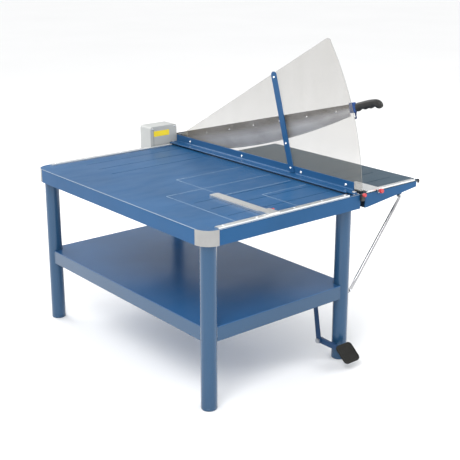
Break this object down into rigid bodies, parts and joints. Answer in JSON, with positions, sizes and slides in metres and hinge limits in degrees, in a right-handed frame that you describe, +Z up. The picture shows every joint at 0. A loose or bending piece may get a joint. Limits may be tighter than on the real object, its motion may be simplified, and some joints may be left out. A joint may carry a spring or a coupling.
{
  "type": "guillotine paper cutter",
  "caption": "Floor-standing guillotine cutter: table on legs, clear guard on a pedal-worked clamp bar, long swinging blade, side table and gauges.",
  "frame": {"origin": "centre of the bounding box's footprint, on the floor", "axes": "+Z up; +Y back, along the cut towards the blade's pivot; +X right, from the table to the side table"},
  "size_m": [1.1, 1.34, 1.254],
  "materials": {
    "blue_paint": "satin",
    "slate_paint": "satin",
    "cap_plastic": "matte",
    "aluminium": "satin",
    "steel": "satin",
    "blade_steel": "ground",
    "grey_paint": "textured",
    "black": "matte",
    "red": "gloss",
    "chrome": "polished",
    "clear": "clear acrylic sheet",
    "rubber": "matte"
  },
  "bodies": {
    "base": {"table_top": "slate_paint", "front_apron": "slate_paint", "rear_apron": "slate_paint", "left_apron": "slate_paint", "knife_beam": "blue_paint", "counter_knife": "steel", "corner_cap_front": "cap_plastic", "corner_cap_rear": "cap_plastic", "leg_front_left": "blue_paint", "leg_rear_left": "blue_paint", "leg_front_right": "blue_paint", "leg_rear_right": "blue_paint", "shelf_panel": "slate_paint", "shelf_rail_front": "blue_paint", "shelf_rail_rear": "blue_paint", "shelf_rail_left": "blue_paint", "shelf_rail_right": "blue_paint", "front_rail": "aluminium", "rear_rail": "aluminium", "side_table_top": "slate_paint", "side_bracket_front": "slate_paint", "side_bracket_rear": "slate_paint", "side_table_end": "blue_paint", "side_hanger_front": "blue_paint", "side_hanger_rear": "blue_paint", "side_rail": "aluminium", "support_strut": "chrome", "strut_lug_lower": "blue_paint", "strut_lug_upper": "blue_paint", "pivot_housing": "grey_paint", "bearing_block": "grey_paint", "pivot_bolt": "steel", "pivot_nut": "steel", "pivot_washer": "steel", "latch_block": "black", "pedal_strap": "blue_paint", "pedal_bolt": "steel"},
    "clamp": {"clamp_bar": "blue_paint", "clamp_pad": "rubber", "guard_panel": "clear", "guard_strut": "blue_paint", "pull_rod": "steel", "guide_rod_front": "steel", "guide_rod_rear": "steel", "return_spring_front": "steel", "return_spring_rear": "steel"},
    "blade_arm": {"blade": "blade_steel", "blade_stiffener": "steel", "handle_collar": "blue_paint", "handle_grip": "black"},
    "hook": {"latch_hook": "blue_paint"},
    "pedal": {"pedal_arm": "blue_paint", "pedal_pad": "rubber"},
    "catch_knob": {"latch_knob": "red"},
    "gauge": {"gauge_head": "aluminium", "gauge_bar": "aluminium"},
    "gauge_lock": {"gauge_knob": "red"},
    "stop": {"stop_plate": "aluminium"},
    "stop_lock": {"stop_knob": "red"}
  },
  "joints": [
    {"name": "blade_swing", "type": "hinge", "parent": "base", "child": "blade_arm", "pos_m": [0.211, 0.621, 0.695], "axis": [-1, 0, 0], "range_deg": [-14.6, 20]},
    {"name": "hook_swing", "type": "hinge", "parent": "blade_arm", "child": "hook", "pos_m": [0.214, -0.53954, 0.98825], "axis": [1, 0, 0], "range_deg": [-20, 35]},
    {"name": "clamp_slide", "type": "slide", "parent": "base", "child": "clamp", "axis": [0, 0, -1], "range_m": [0, 0.0045], "stiffness_N_per_m": 6000, "springref_m": -0.025, "deforming": ["return_spring_front", "return_spring_rear"]},
    {"name": "pedal_press", "type": "hinge", "parent": "base", "child": "pedal", "pos_m": [0.11, -0.492, 0.069], "axis": [1, 0, 0], "range_deg": [0, 5]},
    {"name": "catch_knob_turn", "type": "hinge", "parent": "base", "child": "catch_knob", "pos_m": [0.202, -0.605, 0.681], "axis": [0, -1, 0], "range_deg": [-180, 180]},
    {"name": "gauge_travel", "type": "slide", "parent": "base", "child": "gauge", "axis": [1, 0, 0], "range_m": [-0.2, 0.33]},
    {"name": "gauge_lock_turn", "type": "hinge", "parent": "gauge", "child": "gauge_lock", "pos_m": [-0.215, -0.546, 0.6864], "axis": [1, 0, 0], "range_deg": [-180, 180]},
    {"name": "stop_travel", "type": "slide", "parent": "base", "child": "stop", "axis": [1, 0, 0], "range_m": [0, 0.2]},
    {"name": "stop_lock_turn", "type": "hinge", "parent": "stop", "child": "stop_lock", "pos_m": [0.3, -0.602, 0.68], "axis": [0, -1, 0], "range_deg": [-180, 180]}
  ],
  "couplings": [
    {"joint": "pedal_press", "follows": "clamp_slide", "rad_per_m": 19.23}
  ]
}
